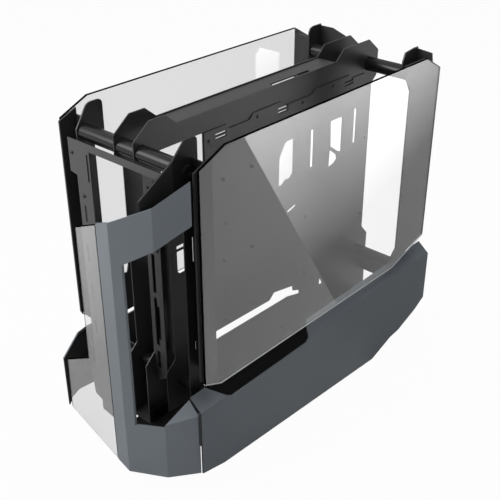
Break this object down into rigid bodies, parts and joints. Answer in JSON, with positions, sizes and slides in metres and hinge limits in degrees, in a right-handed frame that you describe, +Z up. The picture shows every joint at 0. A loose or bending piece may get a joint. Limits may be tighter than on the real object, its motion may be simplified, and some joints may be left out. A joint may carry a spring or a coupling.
{
  "type": "open air test bench",
  "caption": "Tall open chassis with a two-plate spine, cross rods, hung glass sides, folded front cover and side skirts, for running a computer board with its parts in open air.",
  "frame": {"origin": "on the floor under the middle of the chassis", "axes": "X to the right seen from the front, Y from the front to the rear, Z up"},
  "size_m": [0.318, 0.752, 0.62],
  "materials": {
    "black_steel": "fine matt black powder coat",
    "grey_aluminium": "satin blue-grey anodised sheet",
    "smoked_glass": "clear lightly smoked toughened glass",
    "dark_steel": "blackened steel fasteners",
    "bright_steel": "plated socket shells",
    "black_plastic": "fine matt plastic",
    "board_green": "printed circuit board",
    "rubber": "soft matt rubber"
  },
  "bodies": {
    "chassis": {"base_shelf": "black_steel", "board_standoffs": "dark_steel", "board_tray": "black_steel", "button_switches": "black_plastic", "cable_shroud": "black_steel", "column_screws": "dark_steel", "control_box": "black_steel", "control_sockets": "bright_steel", "cross_foot_front": "black_steel", "drive_tray_screws": "dark_steel", "drive_trays": "black_steel", "front_cover": "grey_aluminium", "front_floor_plate": "black_steel", "front_frame": "black_steel", "front_frame_screws": "dark_steel", "front_glass": "smoked_glass", "front_glass_clips": "black_steel", "front_post_left": "black_steel", "front_post_right": "black_steel", "glass_left": "smoked_glass", "glass_right": "smoked_glass", "psu_bracket": "black_steel", "rear_brace": "black_steel", "rear_foot_left": "black_steel", "rear_foot_right": "black_steel", "rear_low_bar": "black_steel", "rear_post_left": "black_steel", "rear_post_right": "black_steel", "rod_bolts": "dark_steel", "rod_front_low": "black_steel", "rod_front_top": "black_steel", "rod_rear_low": "black_steel", "rod_rear_top": "black_steel", "rubber_feet": "rubber", "shelf_screws": "dark_steel", "skirt_left": "grey_aluminium", "skirt_right": "grey_aluminium", "spine_bottom_web": "black_steel", "spine_plate_left": "black_steel", "spine_plate_right": "black_steel", "spine_top_web": "black_steel", "switch_board": "board_green", "tray_screws": "dark_steel"},
    "power_button": {"power_button": "black_plastic"},
    "reset_button": {"reset_button": "black_plastic"}
  },
  "joints": [
    {"name": "power_press", "type": "slide", "parent": "chassis", "child": "power_button", "axis": [1, 0, 0], "range_m": [0, 0.0018], "stiffness_N_per_m": 400, "springref_m": -0.001},
    {"name": "reset_press", "type": "slide", "parent": "chassis", "child": "reset_button", "axis": [1, 0, 0], "range_m": [0, 0.0012], "stiffness_N_per_m": 400, "springref_m": -0.001}
  ]
}
